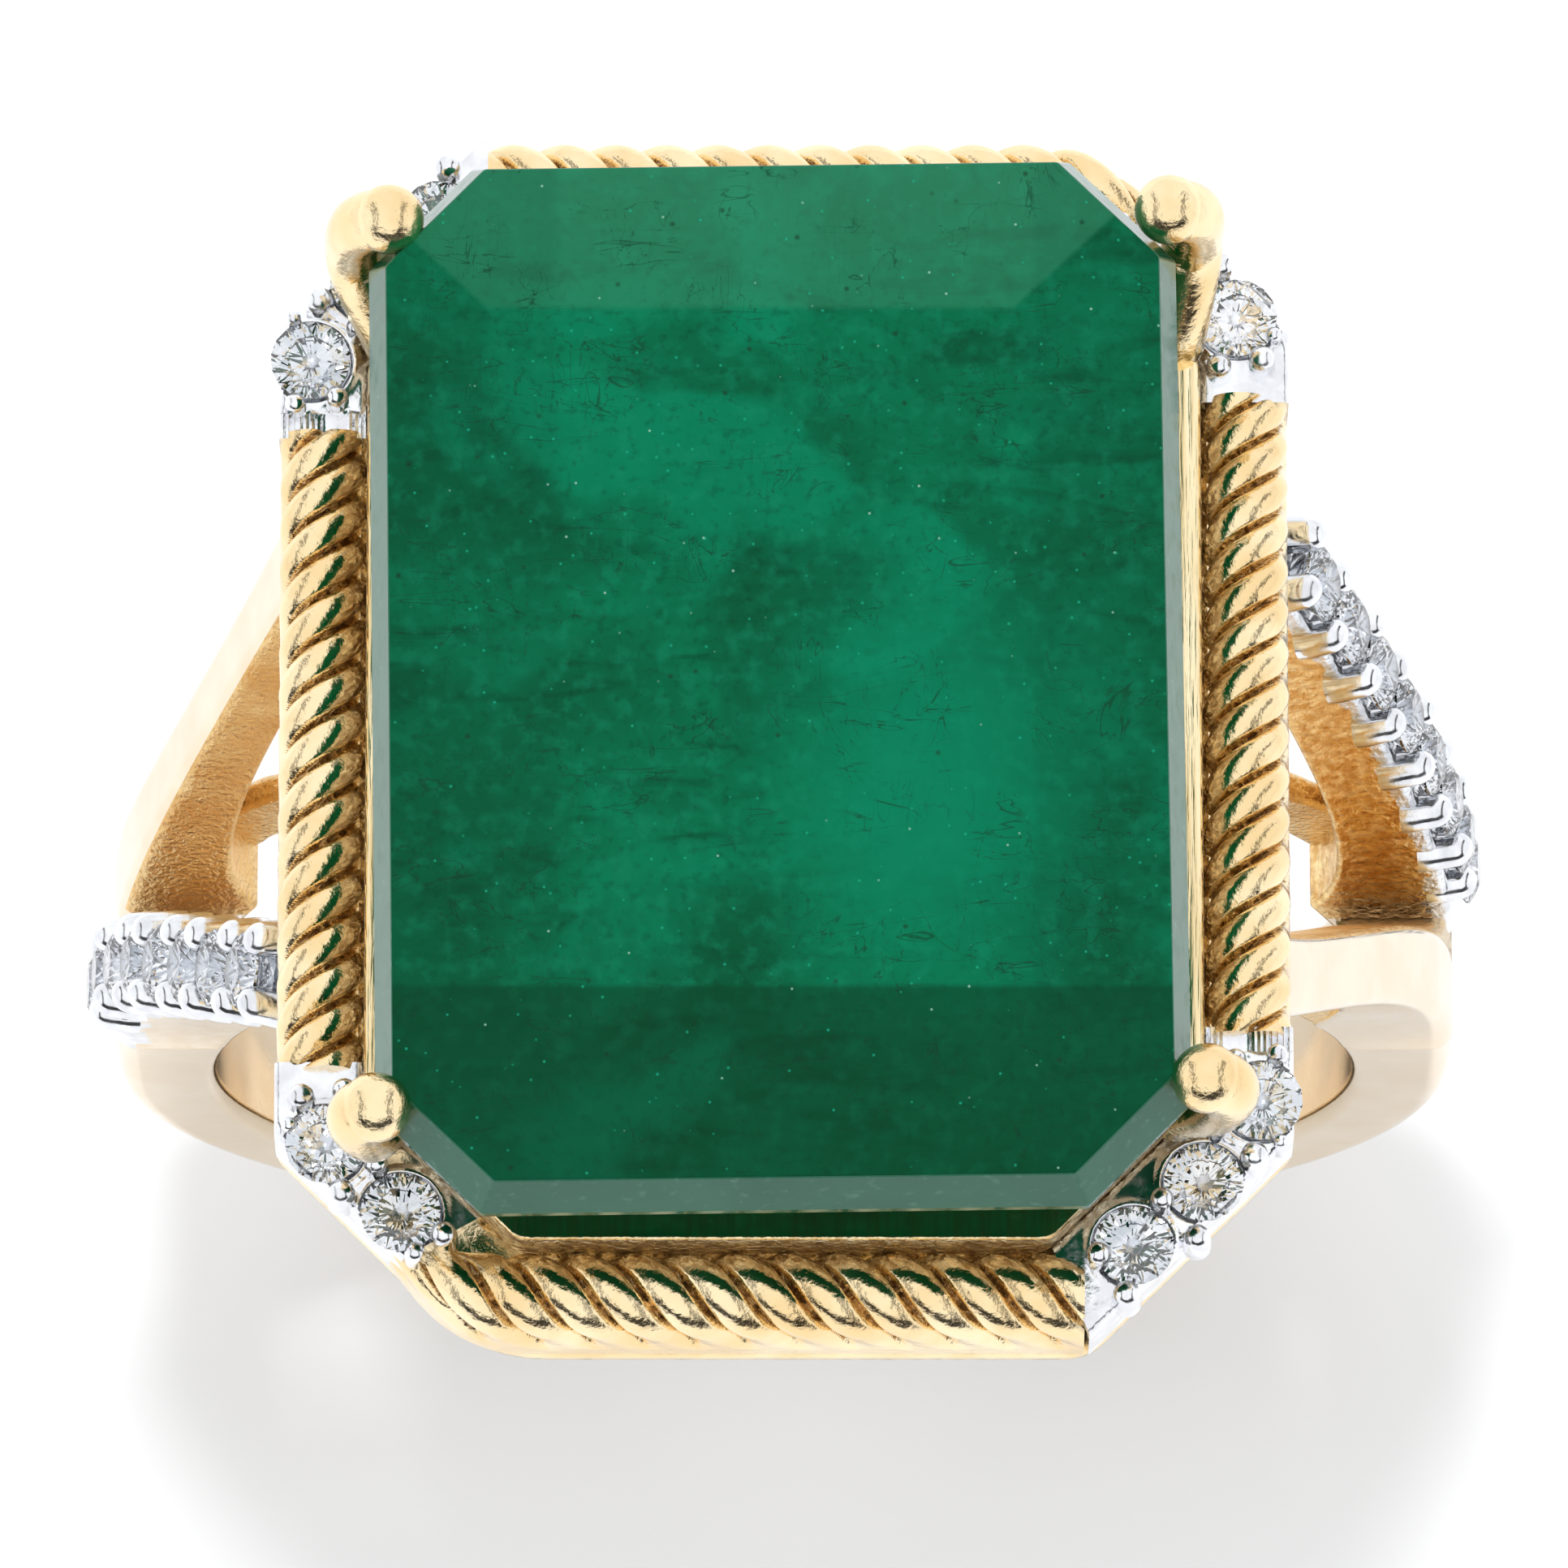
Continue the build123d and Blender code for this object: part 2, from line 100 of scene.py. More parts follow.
# --- materials ---------------------------------------------------------------
class Finish:
    """One material and short calls for the nodes that make it. Lengths inside it are millimetres."""

    def __init__(self, name, **sockets):
        self.material = bpy.data.materials.new(name)
        self.material.use_nodes = True
        self.tree = self.material.node_tree
        self.shader = self.tree.nodes["Principled BSDF"]
        for socket, value in sockets.items():
            self.shader.inputs[socket.replace("_", " ")].default_value = value
        place = self.tree.nodes.new("ShaderNodeTexCoord").outputs["Object"]
        self.place = self.vector("SCALE", place, scale=1 / MM)

    def link(self, value, socket):
        if isinstance(value, bpy.types.NodeSocket):
            self.tree.links.new(value, socket)
        else:
            socket.default_value = value

    def vector(self, operation, a, b=None, scale=None):
        node = self.tree.nodes.new("ShaderNodeVectorMath")
        node.operation = operation
        self.link(a, node.inputs[0])
        if b is not None:
            self.link(b, node.inputs[1])
        if scale is not None:
            node.inputs["Scale"].default_value = scale
        return node.outputs["Vector"]

    def maths(self, operation, a, b=0.0):
        node = self.tree.nodes.new("ShaderNodeMath")
        node.operation = operation
        self.link(a, node.inputs[0])
        self.link(b, node.inputs[1])
        return node.outputs["Value"]

    def noise(self, scale, detail=3.0, stretch=(1, 1, 1), at=None, distortion=0.0):
        node = self.tree.nodes.new("ShaderNodeTexNoise")
        self.link(self.vector("MULTIPLY", at or self.place, stretch), node.inputs["Vector"])
        node.inputs["Scale"].default_value = scale
        node.inputs["Detail"].default_value = detail
        node.inputs["Distortion"].default_value = distortion
        return node.outputs["Fac"]

    def ramp(self, value, low, high, start=0.0, end=1.0, smooth=True):
        node = self.tree.nodes.new("ShaderNodeMapRange")
        node.interpolation_type = "SMOOTHSTEP" if smooth else "LINEAR"
        for socket, given in zip(node.inputs, (value, low, high, start, end)):
            self.link(given, socket)
        return node.outputs["Result"]

    def mix(self, factor, a, b, blend="MIX"):
        node = self.tree.nodes.new("ShaderNodeMix")
        node.data_type = "RGBA"
        node.blend_type = blend
        self.link(factor, node.inputs[0])
        for given, socket in ((a, node.inputs[6]), (b, node.inputs[7])):
            self.link((*given, 1.0) if isinstance(given, tuple) else given, socket)
        return node.outputs[2]

    def bump(self, height, distance, strength=1.0):
        node = self.tree.nodes.new("ShaderNodeBump")
        node.inputs["Strength"].default_value = strength
        node.inputs["Distance"].default_value = distance * MM
        self.link(height, node.inputs["Height"])
        self.link(node.outputs["Normal"], self.shader.inputs["Normal"])

    def colour(self, value):
        self.link(value, self.shader.inputs["Base Color"])

    def roughness(self, value):
        self.link(value, self.shader.inputs["Roughness"])


def gold(name, light, deep, smooth, rough, pits):
    """Polished cast gold: colour drifts a little, and fine pits break up its reflections."""
    finish = Finish(name, Metallic=1.0)
    drift = finish.noise(0.9, 4)
    finish.colour(finish.mix(finish.ramp(drift, 0.3, 0.7), light, deep))
    wear = finish.ramp(finish.noise(5.0, 5), 0.4, 0.75, smooth, rough)
    finish.roughness(wear)
    finish.bump(finish.noise(9.0, 5), pits)
    return finish.material


def brushed(name):
    """The seat's ledge: pale gold with fine drawn lines along the ring's width."""
    finish = Finish(name, Metallic=1.0)
    lines = finish.noise(9.0, 4, stretch=(1.0, 0.04, 1.0))
    drawn = finish.ramp(lines, 0.3, 0.7)
    finish.colour(finish.mix(drawn, (1.0, 0.85, 0.55), (0.82, 0.62, 0.32)))
    finish.roughness(finish.ramp(lines, 0.3, 0.7, 0.07, 0.16))
    finish.bump(lines, 0.012)
    return finish.material


def cast(name, light, dark):
    """Metal left as it came from the mould: grainy, with painted shade darkening the hollows between
    bright grains.
    """
    finish = Finish(name, Metallic=1.0)
    grain = finish.noise(6.5, 8, distortion=0.8)
    finish.colour(finish.mix(finish.ramp(grain, 0.38, 0.62), dark, light))
    finish.roughness(finish.ramp(grain, 0.35, 0.65, 0.45, 0.16))
    finish.bump(grain, 0.16)
    return finish.material


def plated(name, dark, light, smooth, rough, pits):
    """Rhodium on the crown of a jewelled shoulder, fading into the gold of its walls."""
    finish = Finish(name, Metallic=1.0)
    plating = finish.tree.nodes.new("ShaderNodeAttribute")
    plating.attribute_name = "plating"
    ragged = finish.ramp(finish.noise(3.0, 5), 0.3, 0.7, -0.35, 0.35)
    edge = finish.maths("ADD", plating.outputs["Fac"], ragged)
    cover = finish.ramp(edge, 0.40, 0.60)
    bare = finish.mix(finish.ramp(finish.noise(5.0, 6), 0.35, 0.65), dark, light)
    drift = finish.ramp(finish.noise(3.5, 5), 0.3, 0.7)
    white = finish.mix(drift, (0.92, 0.93, 0.95), (0.74, 0.75, 0.78))
    finish.colour(finish.mix(cover, bare, white))
    finish.roughness(finish.ramp(finish.noise(4.0, 5), 0.35, 0.7, smooth, rough))
    finish.bump(finish.noise(7.0, 6), pits)
    return finish.material


def rhodium(name, pits):
    """Bright rhodium of the corner settings, faintly clouded and pitted."""
    finish = Finish(name, Metallic=1.0)
    drift = finish.ramp(finish.noise(2.5, 5), 0.35, 0.65)
    finish.colour(finish.mix(drift, (0.93, 0.94, 0.96), (0.78, 0.78, 0.81)))
    finish.roughness(finish.ramp(finish.noise(4.0, 5), 0.35, 0.7, 0.07, 0.24))
    finish.bump(finish.noise(6.0, 6), pits)
    return finish.material


def white_stone():
    """Clear, strongly refracting stone with a breath of grey and fine surface wear."""
    finish = Finish("white_stone_glass", Transmission_Weight=1.0, IOR=2.15, Roughness=0.0)
    drift = finish.ramp(finish.noise(1.2, 2), 0.4, 0.6)
    finish.colour(finish.mix(drift, (0.97, 0.98, 1.0), (0.70, 0.74, 0.80)))
    finish.roughness(finish.ramp(finish.noise(6.0, 3), 0.55, 0.8, 0.0, 0.05))
    return finish.material


def emerald_edge():
    """Bevelled crown facets: greyer green, a painted reflection of the pale room that they mirror."""
    finish = Finish("emerald_crown", IOR=1.58, Specular_IOR_Level=0.22)
    haze = finish.mix(finish.noise(0.8, 5), (0.004, 0.090, 0.044), (0.020, 0.150, 0.085))
    # patches of pale grey-green: painted reflection of the room
    painted_room_reflection = finish.ramp(finish.noise(5.0, 6), 0.55, 0.8, 0, 0.5)
    finish.colour(finish.mix(painted_room_reflection, haze, (0.10, 0.26, 0.19)))
    finish.roughness(finish.ramp(finish.noise(3.0, 5), 0.4, 0.7, 0.08, 0.20))
    return finish.material


def emerald_green():
    """Hazy natural emerald: depth painted in stone-fixed space, together with painted light and shade,
    under a hard polished skin.
    """
    finish = Finish("emerald_stone", IOR=1.58, Specular_IOR_Level=0.05)
    split = finish.tree.nodes.new("ShaderNodeSeparateXYZ")
    finish.link(finish.place, split.inputs[0])
    x, y = split.outputs["X"], split.outputs["Y"]
    clouds = finish.noise(0.26, 4, distortion=0.5)
    grainy = finish.noise(3.2, 10)
    streaks = finish.noise(0.8, 7, stretch=(0.45, 2.0, 1.0), distortion=1.0)
    body = finish.mix(finish.ramp(clouds, 0.30, 0.70), (0.0, 0.105, 0.042), (0.0, 0.190, 0.085))
    body = finish.mix(finish.ramp(streaks, 0.50, 0.72, 0, 0.60), body, (0.0, 0.060, 0.024))
    glow = finish.noise(0.34, 6, distortion=0.5, at=finish.vector("ADD", finish.place, (7.3, 2.1, 0.0)))
    body = finish.mix(finish.ramp(glow, 0.50, 0.68, 0, 0.70), body, (0.0, 0.285, 0.145))
    body = finish.mix(finish.ramp(grainy, 0.45, 0.72, 0.0, 0.40), body, (0.004, 0.290, 0.150))
    dust = finish.ramp(finish.noise(6.5, 6), 0.30, 0.48, 0.30, 0.0)
    body = finish.mix(dust, body, (0.0, 0.042, 0.018))
    # a painted pool of light right of the middle, painted shade along the left and the near side
    spot = finish.vector("SUBTRACT", finish.place, (2.2, -1.8, 0.0))
    spot = finish.vector("MULTIPLY", spot, (0.30, 0.20, 0.0))
    far_off = finish.tree.nodes.new("ShaderNodeVectorMath")
    far_off.operation = "LENGTH"
    finish.link(spot, far_off.inputs[0])
    painted_light_pool = finish.ramp(far_off.outputs["Value"], 0.1, 1.0, 0.75, 0.0)
    body = finish.mix(painted_light_pool, body, (0.0, 0.290, 0.150))
    body = finish.mix(1.0, body, (1.0, 0.66, 0.62), blend="MULTIPLY")
    # the far pavilion step shows through the table as a pale band of painted light, the near one as a
    # darker field of painted shade
    right_of = finish.maths("MAXIMUM", finish.maths("SUBTRACT", x, 3.4), 0.0)
    left_of = finish.maths("MAXIMUM", finish.maths("SUBTRACT", -4.4, x), 0.0)
    folds = [finish.maths("MULTIPLY", past, -0.95) for past in (right_of, left_of)]
    line = finish.maths("ADD", y, finish.maths("ADD", *folds))
    far = finish.ramp(line, 5.46, 5.60)
    fade = finish.ramp(y, 5.0, 8.0, 0.30, 0.50)
    body = finish.mix(finish.maths("MULTIPLY", far, fade), body, (0.035, 0.225, 0.120))
    near = finish.ramp(y, -4.78, -4.90, 0.0, 0.62)
    body = finish.mix(near, body, (0.0, 0.036, 0.012))
    # painted shade over the pavilion steps at the left and the right
    left = finish.ramp(x, -3.2, -3.5, 0.0, 0.20)
    right = finish.ramp(x, 3.6, 3.8, 0.0, 0.16)
    body = finish.mix(finish.maths("ADD", left, right), body, (0.0, 0.060, 0.026))
    # fine cracks, dark specks and white specks
    for scale, stretch, width in (
        (0.7, (0.35, 1.7, 1.0), 0.008), (1.1, (1.9, 0.5, 1.0), 0.006), (0.5, (1.0, 0.8, 1.0), 0.004)
    ):
        vein = finish.noise(scale, 4, stretch=stretch, distortion=1.6)
        gap = finish.maths("ABSOLUTE", finish.maths("SUBTRACT", vein, 0.5))
        thin = finish.ramp(finish.noise(0.9, 2), 0.45, 0.6, 0.0, 1.0)
        crack = finish.maths("MULTIPLY", finish.ramp(gap, 0.0, width, 0.65, 0.0), thin)
        body = finish.mix(crack, body, (0.004, 0.034, 0.016))
    for scale, near_r, far_r, tint, shift in (
        (1.3, 0.01, 0.080, (0.006, 0.024, 0.012), 0.0),
        (1.9, 0.01, 0.055, (0.300, 0.560, 0.430), 3.7),
        (3.4, 0.02, 0.110, (0.010, 0.330, 0.190), 8.1),
    ):
        cells = finish.tree.nodes.new("ShaderNodeTexVoronoi")
        finish.link(finish.vector("ADD", finish.place, (shift, shift, 0.0)), cells.inputs["Vector"])
        cells.inputs["Scale"].default_value = scale
        speck = finish.ramp(cells.outputs["Distance"], near_r, far_r, 0.7, 0.0)
        body = finish.mix(speck, body, tint)
    finish.colour(body)
    finish.roughness(finish.ramp(grainy, 0.4, 0.7, 0.04, 0.12))
    return finish.material


SHANK_GOLD = gold("gold_polished", (0.92, 0.79, 0.62), (0.86, 0.71, 0.52), 0.12, 0.18, 0.002)
ROPE_GOLD = gold("gold_bright", (1.0, 0.82, 0.52), (0.90, 0.66, 0.34), 0.06, 0.16, 0.016)
# faces in the fork: rougher gold, its deeper amber colour painted shade and gold-on-gold bounce light
FORK_GOLD_PAINTED_SHADE = gold("gold_amber_painted_shade", (1.0, 0.72, 0.34), (0.88, 0.52, 0.18), 0.30, 0.50, 0.10)
# the seat's outer wall: cast grain, with painted shade in its hollows
WALL_GOLD_PAINTED_SHADE = cast("gold_grain_painted_shade", (1.0, 0.86, 0.60), (0.52, 0.36, 0.19))
RAIL_GOLD = gold("gold_satin", (0.95, 0.70, 0.36), (0.74, 0.46, 0.17), 0.18, 0.36, 0.05)
# rope creases: cast grain, with painted shade in its hollows
GROOVE_GOLD_PAINTED_SHADE = cast("gold_cast_painted_shade", (0.95, 0.68, 0.36), (0.36, 0.20, 0.07))
EMERALD_EDGE = emerald_edge()
LEDGE_GOLD = brushed("gold_brushed")
PLATED = plated("rhodium_over_polish", (0.86, 0.71, 0.52), (0.92, 0.79, 0.62), 0.10, 0.20, 0.004)
# fork faces of the jewelled shoulders: bare gold in deeper amber, painted shade and bounce light
PLATED_FORK_PAINTED_SHADE = plated("rhodium_over_amber_painted_shade", (0.74, 0.42, 0.12), (1.0, 0.74, 0.36), 0.16, 0.36, 0.04)
RHODIUM = rhodium("rhodium_bright", 0.012)
WHITE_STONE = white_stone()
EMERALD = emerald_green()


# --- mesh making -------------------------------------------------------------
class Shape:
    """Points and faces gathered for one piece, with a material number and a plating value per point."""

    def __init__(self):
        self.points, self.faces, self.slots, self.plating = [], [], [], []

    def add(self, points, faces, slot=0, plating=1.0):
        start = len(self.points)
        self.points += [tuple(p) for p in points]
        self.faces += [tuple(i + start for i in face) for face in faces]
        self.slots += list(slot) if hasattr(slot, "__len__") else [slot] * len(faces)
        self.plating += list(plating) if hasattr(plating, "__len__") else [plating] * len(points)
        return self

    def loops(self, rows, close_rows=False, caps=True, slot=0, plating=1.0):
        """Joins closed loops of equal length, one after the other."""
        rows = np.asarray(rows, float)
        n, m = rows.shape[:2]
        faces = [
            (i * m + j, i * m + (j + 1) % m, (i + 1) % n * m + (j + 1) % m, (i + 1) % n * m + j)
            for i in range(n if close_rows else n - 1)
            for j in range(m)
        ]
        if caps and not close_rows:
            faces += [tuple(reversed(range(m))), tuple(range((n - 1) * m, n * m))]
        return self.add(rows.reshape(-1, 3), faces, slot, plating)


def build(name, shape, materials, nodes, smooth=True, half_turn=False, mirror_y=False):
    """Makes the piece, turned or mirrored into place, riding on the ring in place of its CAD nodes."""
    points = np.array(shape.points, float)
    if mirror_y:
        points[:, 1] *= -1
    if half_turn:
        points[:, :2] *= -1
    mesh = bpy.data.meshes.new(name)
    mesh.from_pydata((points * MM).tolist(), [], shape.faces)
    for material in materials:
        mesh.materials.append(material)
    mesh.polygons.foreach_set("material_index", shape.slots)
    mesh.polygons.foreach_set("use_smooth", [smooth] * len(mesh.polygons))
    attribute = mesh.attributes.new("plating", "FLOAT", "POINT")
    attribute.data.foreach_set("value", shape.plating)
    mesh.validate()
    cleaned(mesh)
    if smooth:
        mesh.set_sharp_from_angle(angle=math.radians(40))
    piece = bpy.data.objects.new(name, mesh)
    bpy.context.scene.collection.objects.link(piece)
    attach(piece, "root")
    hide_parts(*nodes)
    return piece


def cleaned(mesh):
    """Merges doubled points and turns every face outwards."""
    import bmesh

    work = bmesh.new()
    work.from_mesh(mesh)
    bmesh.ops.remove_doubles(work, verts=work.verts, dist=1e-7)
    bmesh.ops.recalc_face_normals(work, faces=work.faces)
    work.to_mesh(mesh)
    work.free()


def bezier(points, t):
    a, b, c, d = (np.array(p, float) for p in points)
    return a * (1 - t) ** 3 + 3 * b * t * (1 - t) ** 2 + 3 * c * t**2 * (1 - t) + d * t**3


def edge_curve(knots):
    """Y as a smooth function of Z through the four knots of a shoulder's edge."""
    ys, zs = zip(*knots)
    return np.poly1d(np.polyfit(zs, ys, 3))


def even(points, count):
    """The same line as count points at equal distances along it."""
    points = np.asarray(points, float)
    steps = np.r_[0, np.cumsum(np.linalg.norm(np.diff(points, axis=0), axis=1))]
    wanted = np.linspace(0, steps[-1], count)
    return np.stack([np.interp(wanted, steps, column) for column in points.T], axis=1)


def section(thick, outer_r, inner_r, across=2, arc=6, far_r=None):
    """Loop round a bar as (depth, side, distance in from that side), from its inner near corner."""
    support = 0.03
    loop = []
    for side, depths in ((-1, (0, thick)), (1, (thick, 0))):
        for depth in depths:
            r = inner_r if depth == 0 else far_r if far_r and side > 0 else outer_r
            inward = 1 if depth == 0 else -1
            turn = np.linspace(0, math.pi / 2, arc + 1)
            corner = [(depth + inward * r * (1 - math.cos(a)), side, r * (1 - math.sin(a))) for a in turn]
            corner = [(depth, side, r + support), *corner, (depth + inward * (r + support), side, 0.0)]
            if (side, depth) in ((-1, thick), (1, 0)):
                corner.reverse()
            loop += corner
        if side == -1 and across:
            loop += [(thick, 0, k / (across + 1)) for k in range(1, across + 1)]
    return loop


def octagon_loop(half_x, half_y, cut, z, r=(0.18,) * 8, arc=6):
    """Closed loop round an octagon with softened corners."""
    corners = [(half_x, half_y - cut), (half_x - cut, half_y)]
    corners += [(-x, y) for x, y in reversed(corners)]
    corners += [(-x, -y) for x, y in corners]
    loop = []
    for i, corner in enumerate(corners):
        here, back, on = (np.array(corners[k % 8], float) for k in (i, i - 1, i + 1))
        into, out = (v / np.linalg.norm(v) for v in (back - here, on - here))
        for t in np.linspace(0, 1, arc + 1):
            x, y = here + r[i] * (into * (1 - t) ** 2 + out * t**2)
            loop.append((x, y, z))
    return loop


def inset(octagon, amount):
    half_x, half_y, cut = octagon
    return half_x - amount, half_y - amount, cut - amount * (2 - math.sqrt(2))


def grain(points, size, amount):
    """Small steady unevenness, from sums of waves, for surfaces that came from a mould."""
    p = np.asarray(points, float) * size
    x, y, z = p[..., 0], p[..., 1], p[..., 2]
    wave = np.sin(x * 3.1 + 2 * np.sin(y * 2.3)) * np.sin(y * 3.7 + 1.5 * np.sin(z * 2.9))
    return amount * (wave + 0.5 * np.sin(z * 5.3 + x * 4.1 + y * 3.3))


def pin(base, outward, radius, height, root=0.15, lean=(0, 0, 0), around=14, rings=6):
    """Rows of a small raised bead: a peg with a domed top."""
    base, outward = np.array(base, float), np.array(outward, float)
    outward /= np.linalg.norm(outward)
    side = np.cross(outward, (0.3, 0.9, 0.2))
    side /= np.linalg.norm(side)
    other = np.cross(outward, side)
    lean = np.array(lean, float)
    rows = []
    levels = [(-root, radius * 1.1), (0.0, radius * 1.08), (height - radius, radius)]
    levels += [
        (height - radius + radius * math.sin(a), radius * math.cos(a))
        for a in np.linspace(0, math.pi / 2 * 0.97, rings)[1:]
    ]
    for level, r in levels:
        centre = base + outward * level + lean * max(level, 0)
        rows.append([
            centre + r * (math.cos(a) * side + math.sin(a) * other)
            for a in np.linspace(0, 2 * math.pi, around, endpoint=False)
        ])
    return rows


SHANK_RIM = 0.34


# --- shank -------------------------------------------------------------------
def shank_shape():
    """A band with rounded rims: straight beside the fork and round below it."""
    legs = np.linspace(FORK_Z + 0.02, 0.1, 8)
    stations = [(OUTER_R, z, math.sqrt(BORE_R**2 - z * z), z) for z in legs]
    for angle in np.linspace(0, math.pi, 120):
        c, s = math.cos(angle), -math.sin(angle)
        stations.append((OUTER_R * c, OUTER_R * s, BORE_R * c, BORE_R * s))
    stations += [(-ox, oz, -ix, iz) for ox, oz, ix, iz in reversed(stations[:8])]
    rows = []
    for ox, oz, ix, iz in stations:
        share = (FORK_Z - oz) / (FORK_Z + OUTER_R)
        width = HALF_WIDTH + (BASE_HALF_WIDTH - HALF_WIDTH) * share
        outer, inner = np.array((ox, oz)), np.array((ix, iz))
        thick = np.linalg.norm(outer - inner)
        row = []
        for depth, side, away in section(thick, SHANK_RIM, 0.22, across=0):
            px, pz = inner + (outer - inner) * depth / thick
            row.append((px, side * (width - away), pz))
        rows.append(row)
    return Shape().loops(rows)


build("shank_band", shank_shape(), [SHANK_GOLD], ["shank"])

# --- shoulders ---------------------------------------------------------------
near_y, far_y = edge_curve(NEAR_EDGE), edge_curve(FAR_EDGE)


def shoulder_lines(crown, count):
    """Matching points along the crown and the underside of a shoulder, in (X, Z)."""
    outer = even([bezier(crown, t) for t in np.linspace(0, 1, 200)], count)
    start, end = math.asin(FORK_Z / BORE_R), math.asin(UNDER_CURVE[0][1] / BORE_R)
    bore = [(BORE_R * math.cos(a), BORE_R * math.sin(a)) for a in np.linspace(start, end, 40)]
    inner = even(bore + [bezier(UNDER_CURVE, t) for t in np.linspace(0, 1, 200)[1:]], count)
    return outer, inner


# plating values: above 0.5 a point is plated, and the line between runs high on the wall
PLATED_CROWN, BARE_WALL = 1.0, -3.0


def shoulder_rows(crown, count, edge_r, across, dent=None):
    """Sections of a shoulder bar; dent(point, outward) sinks the crown where stones sit."""
    outer, inner = shoulder_lines(crown, count)
    rows, plating = [], []
    for k, (o, i) in enumerate(zip(outer, inner)):
        thick = np.linalg.norm(o - i)
        direction = (o - i) / thick
        blend = max(0.0, 1 - 6 * k / count)
        far_r = edge_r + (SHANK_RIM - edge_r) * blend
        inner_r = 0.10 + 0.12 * blend
        for depth, side, away in section(thick, edge_r, inner_r, across, far_r=far_r):
            px, pz = i + direction * depth
            low, high = near_y(pz), far_y(pz)
            if side == 0:
                y = low + edge_r + 0.03 + (high - low - edge_r - far_r - 0.06) * away
            else:
                y = low + away if side < 0 else high - away
            point = np.array((px, y, pz))
            if dent and depth > thick - 0.001:
                sink = dent(point)
                point = point - sink * np.array((direction[0], 0, direction[1]))
            rows.append(point)
            plating.append(PLATED_CROWN if depth > thick - 0.34 else BARE_WALL)
    return np.array(rows).reshape(count, -1, 3), plating


def painted_shade_fork_faces(rows):
    """Marks the faces of a shoulder that look into the fork or down on the finger; they take a deeper
    amber gold, painted shade and gold-on-gold bounce light.
    """
    n, m = rows.shape[:2]
    marks = [int(i > n // 12 and (j <= 12 or j >= m - 5)) for i in range(n - 1) for j in range(m)]
    return marks + [0, 0]


plain_rows, _ = shoulder_rows(PLAIN_CROWN, 60, 0.26, 6)
for name, turned in (("plain_shoulder_front_right", False), ("plain_shoulder_back_left", True)):
    build(name + "_polished", Shape().loops(plain_rows, slot=painted_shade_fork_faces(plain_rows)),
          [SHANK_GOLD, FORK_GOLD_PAINTED_SHADE], [name], mirror_y=True, half_turn=turned)


def node_middle(node):
    """Middle of a small stone's CAD solid, in millimetres."""
    low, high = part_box(node)
    return np.array((low + high) / 2) / MM


pave_middles = [node_middle(f"pave_right_{i}") for i in range(1, PAVE_COUNT + 1)]


def pave_axes():
    """For each stone along the jewelled shoulder: its middle and the outward direction of the crown."""
    found = []
    for i, middle in enumerate(pave_middles):
        along = pave_middles[min(i + 1, PAVE_COUNT - 1)] - pave_middles[max(i - 1, 0)]
        outward = np.array((along[2], 0.0, -along[0]))
        found.append((middle, outward / np.linalg.norm(outward), along / np.linalg.norm(along)))
    return found


PAVE_AXES = pave_axes()


BOWL_DEPTH, BOWL_R = 0.34, 0.56


def pave_dent(point):
    """Depth of the bowl under the nearest stone."""
    sink = 0.0
    for middle, outward, _ in PAVE_AXES:
        offset = point - middle
        d = np.linalg.norm(offset - outward * offset.dot(outward))
        sink = max(sink, BOWL_DEPTH * (1 - (d / BOWL_R) ** 2))
    return sink


def pave_shoulder_shape():
    rows, plating = shoulder_rows(PAVE_CROWN, 200, 0.12, 26, pave_dent)
    shape = Shape().loops(rows, slot=painted_shade_fork_faces(rows), plating=plating)
    spacing = 0.62    # from a stone's middle to the beads beyond it
    for k, (middle, outward, along) in enumerate(PAVE_AXES):
        side = np.cross(outward, along)
        tall = 0.64 if k % 2 else 0.58
        for across in (-0.53, 0.53):
            base = middle + along * spacing + side * across - outward * (PAVE_LIFT + 0.02)
            lean = -side * np.sign(across) * 0.10
            shape.loops(pin(base, outward, 0.27, tall, 0.2, lean, around=20, rings=9))
    return shape


pave_shape = pave_shoulder_shape()
for name, turned in (("pave_shoulder_back_right", False), ("pave_shoulder_front_left", True)):
    build(name + "_plated", pave_shape, [PLATED, PLATED_FORK_PAINTED_SHADE], [name], half_turn=turned)


# --- finger rails ------------------------------------------------------------
def rail_shape():
    """Slim bar across the top of the finger hole, a little uneven from the mould."""
    rows = []
    thick, near, far = 1.22, 1.20, 1.65
    for angle in np.radians(np.linspace(23, 157, 110)):
        row = []
        for depth, side, away in section(thick, 0.12, 0.10, across=0, arc=3):
            r = BORE_R + 0.02 + depth
            y = near + away if side < 0 else far - away
            row.append((r * math.cos(angle), y, r * math.sin(angle)))
        rows.append(row)
    rows = np.array(rows)
    rows[..., 1] += grain(rows, 1.6, 0.012)
    return Shape().loops(rows)


for name, turned in (("finger_rail_back", False), ("finger_rail_front", True)):
    build(name + "_cast", rail_shape(), [RAIL_GOLD], [name], half_turn=turned)

# --- head frame and stone seat -----------------------------------------------
HEAD = (HEAD_HX, HEAD_HY, HEAD_CUT)
# softening of the wall's eight corners; the two where an end rope comes round are drawn out
WALL_ROUNDING = (0.15, 1.0, 0.35, 0.15, 0.15, 1.0, 0.35, 0.15)


